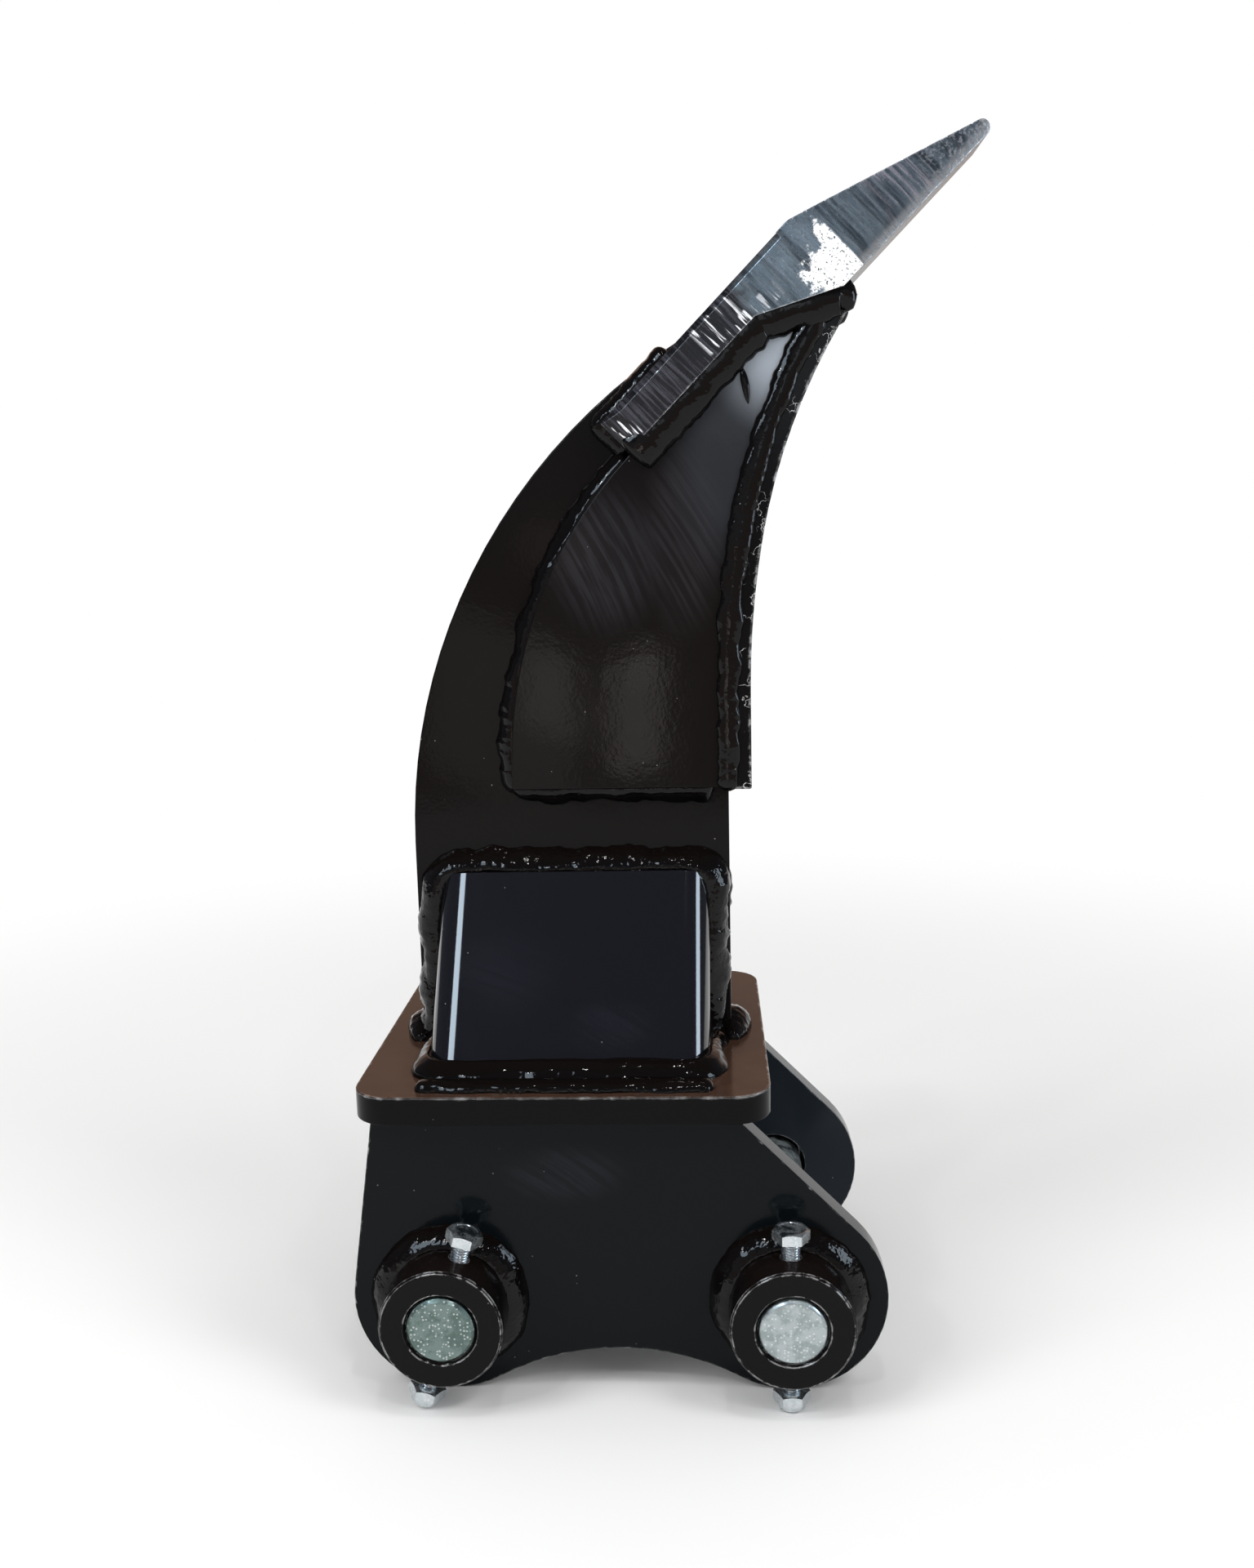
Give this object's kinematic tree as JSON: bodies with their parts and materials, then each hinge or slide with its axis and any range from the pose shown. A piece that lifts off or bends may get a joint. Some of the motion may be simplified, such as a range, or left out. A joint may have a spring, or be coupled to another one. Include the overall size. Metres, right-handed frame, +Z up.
{
  "type": "ripper shank tooth",
  "caption": "Curved ripper shank with a forked, welded tooth, braced on a hitch plate with pinned ears that hang it on a digging machine's arm.",
  "frame": {"origin": "on the floor, at the middle of the part's own footprint box, in the shank's middle plane", "axes": "+Z up along the standing shank, +X towards the tooth's tip, +Y from the ear with the bolts to the other ear"},
  "size_m": [0.3396, 0.25, 0.6522],
  "materials": {
    "gloss_black_paint": "gloss black paint over flame cut steel plate, chipped at the edges",
    "painted_weld": "gloss black paint over rough weld beads",
    "tooth_steel": "thin glossy coat over ground steel, with cross grinding marks",
    "zinc_plate": "dull zinc plating, faced ends",
    "zinc_fastener": "bright zinc plating"
  },
  "bodies": {
    "root": {"ear_front": "gloss_black_paint", "ear_rear": "gloss_black_paint", "hitch_plate": "gloss_black_paint", "shank": "gloss_black_paint", "wear_bar": "gloss_black_paint", "cheek_front": "gloss_black_paint", "cheek_rear": "gloss_black_paint", "gusset_front": "gloss_black_paint", "gusset_rear": "gloss_black_paint", "tooth": "tooth_steel", "boss_front_left": "gloss_black_paint", "boss_weld_front_left": "painted_weld", "boss_front_right": "gloss_black_paint", "boss_weld_front_right": "painted_weld", "boss_rear_left": "gloss_black_paint", "boss_weld_rear_left": "painted_weld", "boss_rear_right": "gloss_black_paint", "boss_weld_rear_right": "painted_weld", "ear_weld_front": "painted_weld", "ear_weld_rear": "painted_weld", "bar_weld_front": "painted_weld", "bar_weld_rear": "painted_weld", "leg_weld_front": "painted_weld", "leg_weld_rear": "painted_weld", "cheek_weld_front": "painted_weld", "cheek_weld_rear": "painted_weld", "leg_end_weld_front": "painted_weld", "leg_end_weld_rear": "painted_weld", "gusset_base_weld_front": "painted_weld", "gusset_base_weld_rear": "painted_weld", "gusset_toe_weld_front": "painted_weld", "gusset_toe_weld_rear": "painted_weld", "gusset_side_weld_front": "painted_weld", "gusset_side_weld_rear": "painted_weld", "foot_weld_left": "painted_weld", "pin_left": "zinc_plate", "bolt_left": "zinc_fastener", "nut_left": "zinc_fastener", "foot_weld_right": "painted_weld", "pin_right": "zinc_plate", "bolt_right": "zinc_fastener", "nut_right": "zinc_fastener"}
  },
  "joints": []
}
